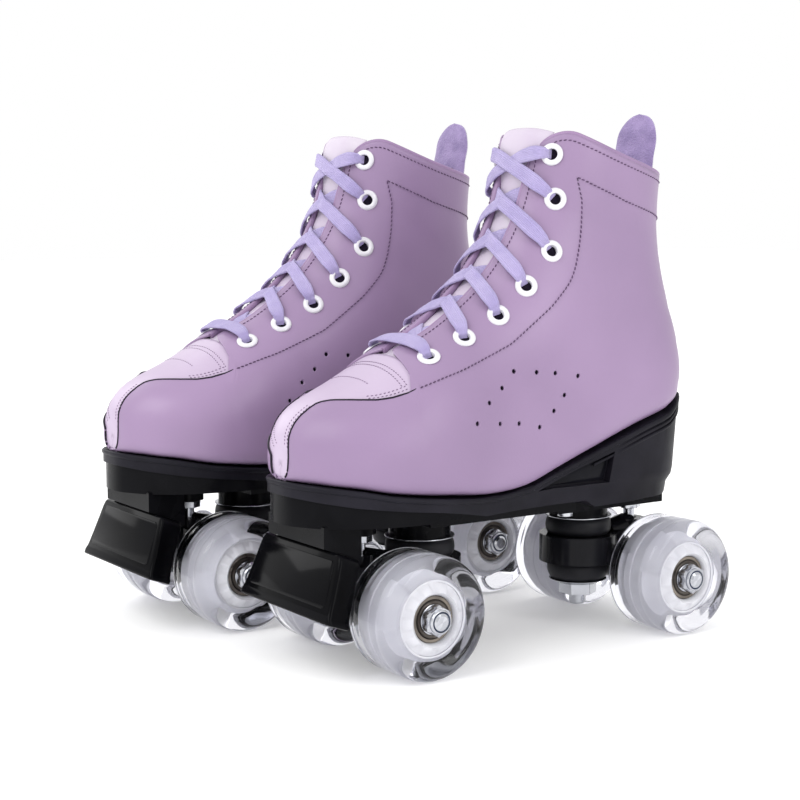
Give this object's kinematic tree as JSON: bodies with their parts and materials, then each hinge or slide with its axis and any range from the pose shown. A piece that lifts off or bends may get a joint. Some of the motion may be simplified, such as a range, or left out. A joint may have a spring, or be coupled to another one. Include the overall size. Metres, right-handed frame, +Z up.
{
  "type": "quad roller skates",
  "caption": "Pair of high-top quad roller skates: laced padded boots on plates with toe stops, cushioned steering trucks, axles, bearings and clear wheels.",
  "frame": {"origin": "on the floor under the middle of the pair's bounding box", "axes": "+Z up, -Y the way the toes point, +X the wearer's left"},
  "size_m": [0.2466, 0.2596, 0.2612],
  "materials": {
    "upper_leather": "satin lilac artificial leather",
    "lining_fabric": "soft brushed lining",
    "tongue_leather": "pale padded leather",
    "tab_suede": "napped suede",
    "lace_fabric": "flat woven lace",
    "eyelet_enamel": "gloss white enamel",
    "sole_rubber": "satin black",
    "plate_nylon": "gloss black",
    "steel": "zinc plated",
    "toe_rubber": "gloss black",
    "cushion_rubber": "satin black",
    "truck_enamel": "gloss black enamel",
    "bearing_steel": "dark bearing steel",
    "tyre_urethane": "clear polyurethane",
    "hub_nylon": "frosted white core"
  },
  "bodies": {
    "left_front_truck_set": {"left_front_truck": "truck_enamel", "left_front_axle": "steel", "left_front_bearings": "bearing_steel"},
    "left_front_outer_wheel": {"left_front_outer_tyre": "tyre_urethane", "left_front_outer_hub": "hub_nylon"},
    "left_front_inner_wheel": {"left_front_inner_tyre": "tyre_urethane", "left_front_inner_hub": "hub_nylon"},
    "left_rear_truck_set": {"left_rear_truck": "truck_enamel", "left_rear_axle": "steel", "left_rear_bearings": "bearing_steel"},
    "left_rear_outer_wheel": {"left_rear_outer_tyre": "tyre_urethane", "left_rear_outer_hub": "hub_nylon"},
    "left_rear_inner_wheel": {"left_rear_inner_tyre": "tyre_urethane", "left_rear_inner_hub": "hub_nylon"},
    "left_skate": {"left_upper": "upper_leather", "left_lining": "lining_fabric", "left_tongue": "tongue_leather", "left_pull_tab": "tab_suede", "left_laces": "lace_fabric", "left_eyelets": "eyelet_enamel", "left_outsole": "sole_rubber", "left_plate": "plate_nylon", "left_plate_screws": "steel", "left_toe_stop": "toe_rubber", "left_kingpins": "steel", "left_kingpin_washers": "steel", "left_front_cushions": "cushion_rubber", "left_front_pivot_pin": "steel", "left_rear_cushions": "cushion_rubber", "left_rear_pivot_pin": "steel"},
    "right_front_truck_set": {"right_front_truck": "truck_enamel", "right_front_axle": "steel", "right_front_bearings": "bearing_steel"},
    "right_front_outer_wheel": {"right_front_outer_tyre": "tyre_urethane", "right_front_outer_hub": "hub_nylon"},
    "right_front_inner_wheel": {"right_front_inner_tyre": "tyre_urethane", "right_front_inner_hub": "hub_nylon"},
    "right_rear_truck_set": {"right_rear_truck": "truck_enamel", "right_rear_axle": "steel", "right_rear_bearings": "bearing_steel"},
    "right_rear_outer_wheel": {"right_rear_outer_tyre": "tyre_urethane", "right_rear_outer_hub": "hub_nylon"},
    "right_rear_inner_wheel": {"right_rear_inner_tyre": "tyre_urethane", "right_rear_inner_hub": "hub_nylon"},
    "right_skate": {"right_upper": "upper_leather", "right_lining": "lining_fabric", "right_tongue": "tongue_leather", "right_pull_tab": "tab_suede", "right_laces": "lace_fabric", "right_eyelets": "eyelet_enamel", "right_outsole": "sole_rubber", "right_plate": "plate_nylon", "right_plate_screws": "steel", "right_toe_stop": "toe_rubber", "right_kingpins": "steel", "right_kingpin_washers": "steel", "right_front_cushions": "cushion_rubber", "right_front_pivot_pin": "steel", "right_rear_cushions": "cushion_rubber", "right_rear_pivot_pin": "steel"}
  },
  "joints": [
    {"name": "left_front_steer", "type": "hinge", "parent": "left_skate", "child": "left_front_truck_set", "pos_m": [0.0644, -0.0266, 0.04], "axis": [0, -0.9743, 0.2253], "range_deg": [-8, 8], "stiffness_Nm_per_rad": 40, "deforming": ["left_front_cushions"]},
    {"name": "left_front_outer_spin", "type": "hinge", "parent": "left_front_truck_set", "child": "left_front_outer_wheel", "pos_m": [0.103, -0.0546, 0.029], "axis": [1, 0, 0], "continuous": true},
    {"name": "left_front_inner_spin", "type": "hinge", "parent": "left_front_truck_set", "child": "left_front_inner_wheel", "pos_m": [0.0258, -0.0546, 0.029], "axis": [1, 0, 0], "continuous": true},
    {"name": "left_rear_steer", "type": "hinge", "parent": "left_skate", "child": "left_rear_truck_set", "pos_m": [0.0644, 0.0728, 0.04], "axis": [0, 0.9743, 0.2253], "range_deg": [-8, 8], "stiffness_Nm_per_rad": 40, "deforming": ["left_rear_cushions"]},
    {"name": "left_rear_outer_spin", "type": "hinge", "parent": "left_rear_truck_set", "child": "left_rear_outer_wheel", "pos_m": [0.103, 0.1008, 0.029], "axis": [1, 0, 0], "continuous": true},
    {"name": "left_rear_inner_spin", "type": "hinge", "parent": "left_rear_truck_set", "child": "left_rear_inner_wheel", "pos_m": [0.0258, 0.1008, 0.029], "axis": [1, 0, 0], "continuous": true},
    {"name": "right_front_steer", "type": "hinge", "parent": "right_skate", "child": "right_front_truck_set", "pos_m": [-0.0644, -0.051, 0.04], "axis": [0, -0.9743, 0.2253], "range_deg": [-8, 8], "stiffness_Nm_per_rad": 40, "deforming": ["right_front_cushions"]},
    {"name": "right_front_outer_spin", "type": "hinge", "parent": "right_front_truck_set", "child": "right_front_outer_wheel", "pos_m": [-0.103, -0.079, 0.029], "axis": [1, 0, 0], "continuous": true},
    {"name": "right_front_inner_spin", "type": "hinge", "parent": "right_front_truck_set", "child": "right_front_inner_wheel", "pos_m": [-0.0258, -0.079, 0.029], "axis": [1, 0, 0], "continuous": true},
    {"name": "right_rear_steer", "type": "hinge", "parent": "right_skate", "child": "right_rear_truck_set", "pos_m": [-0.0644, 0.0484, 0.04], "axis": [0, 0.9743, 0.2253], "range_deg": [-8, 8], "stiffness_Nm_per_rad": 40, "deforming": ["right_rear_cushions"]},
    {"name": "right_rear_outer_spin", "type": "hinge", "parent": "right_rear_truck_set", "child": "right_rear_outer_wheel", "pos_m": [-0.103, 0.0764, 0.029], "axis": [1, 0, 0], "continuous": true},
    {"name": "right_rear_inner_spin", "type": "hinge", "parent": "right_rear_truck_set", "child": "right_rear_inner_wheel", "pos_m": [-0.0258, 0.0764, 0.029], "axis": [1, 0, 0], "continuous": true},
    {"name": "right_skate_apart", "type": "slide", "parent": "left_skate", "child": "right_skate", "axis": [-1, 0, 0], "range_m": [0, 0.2]}
  ]
}
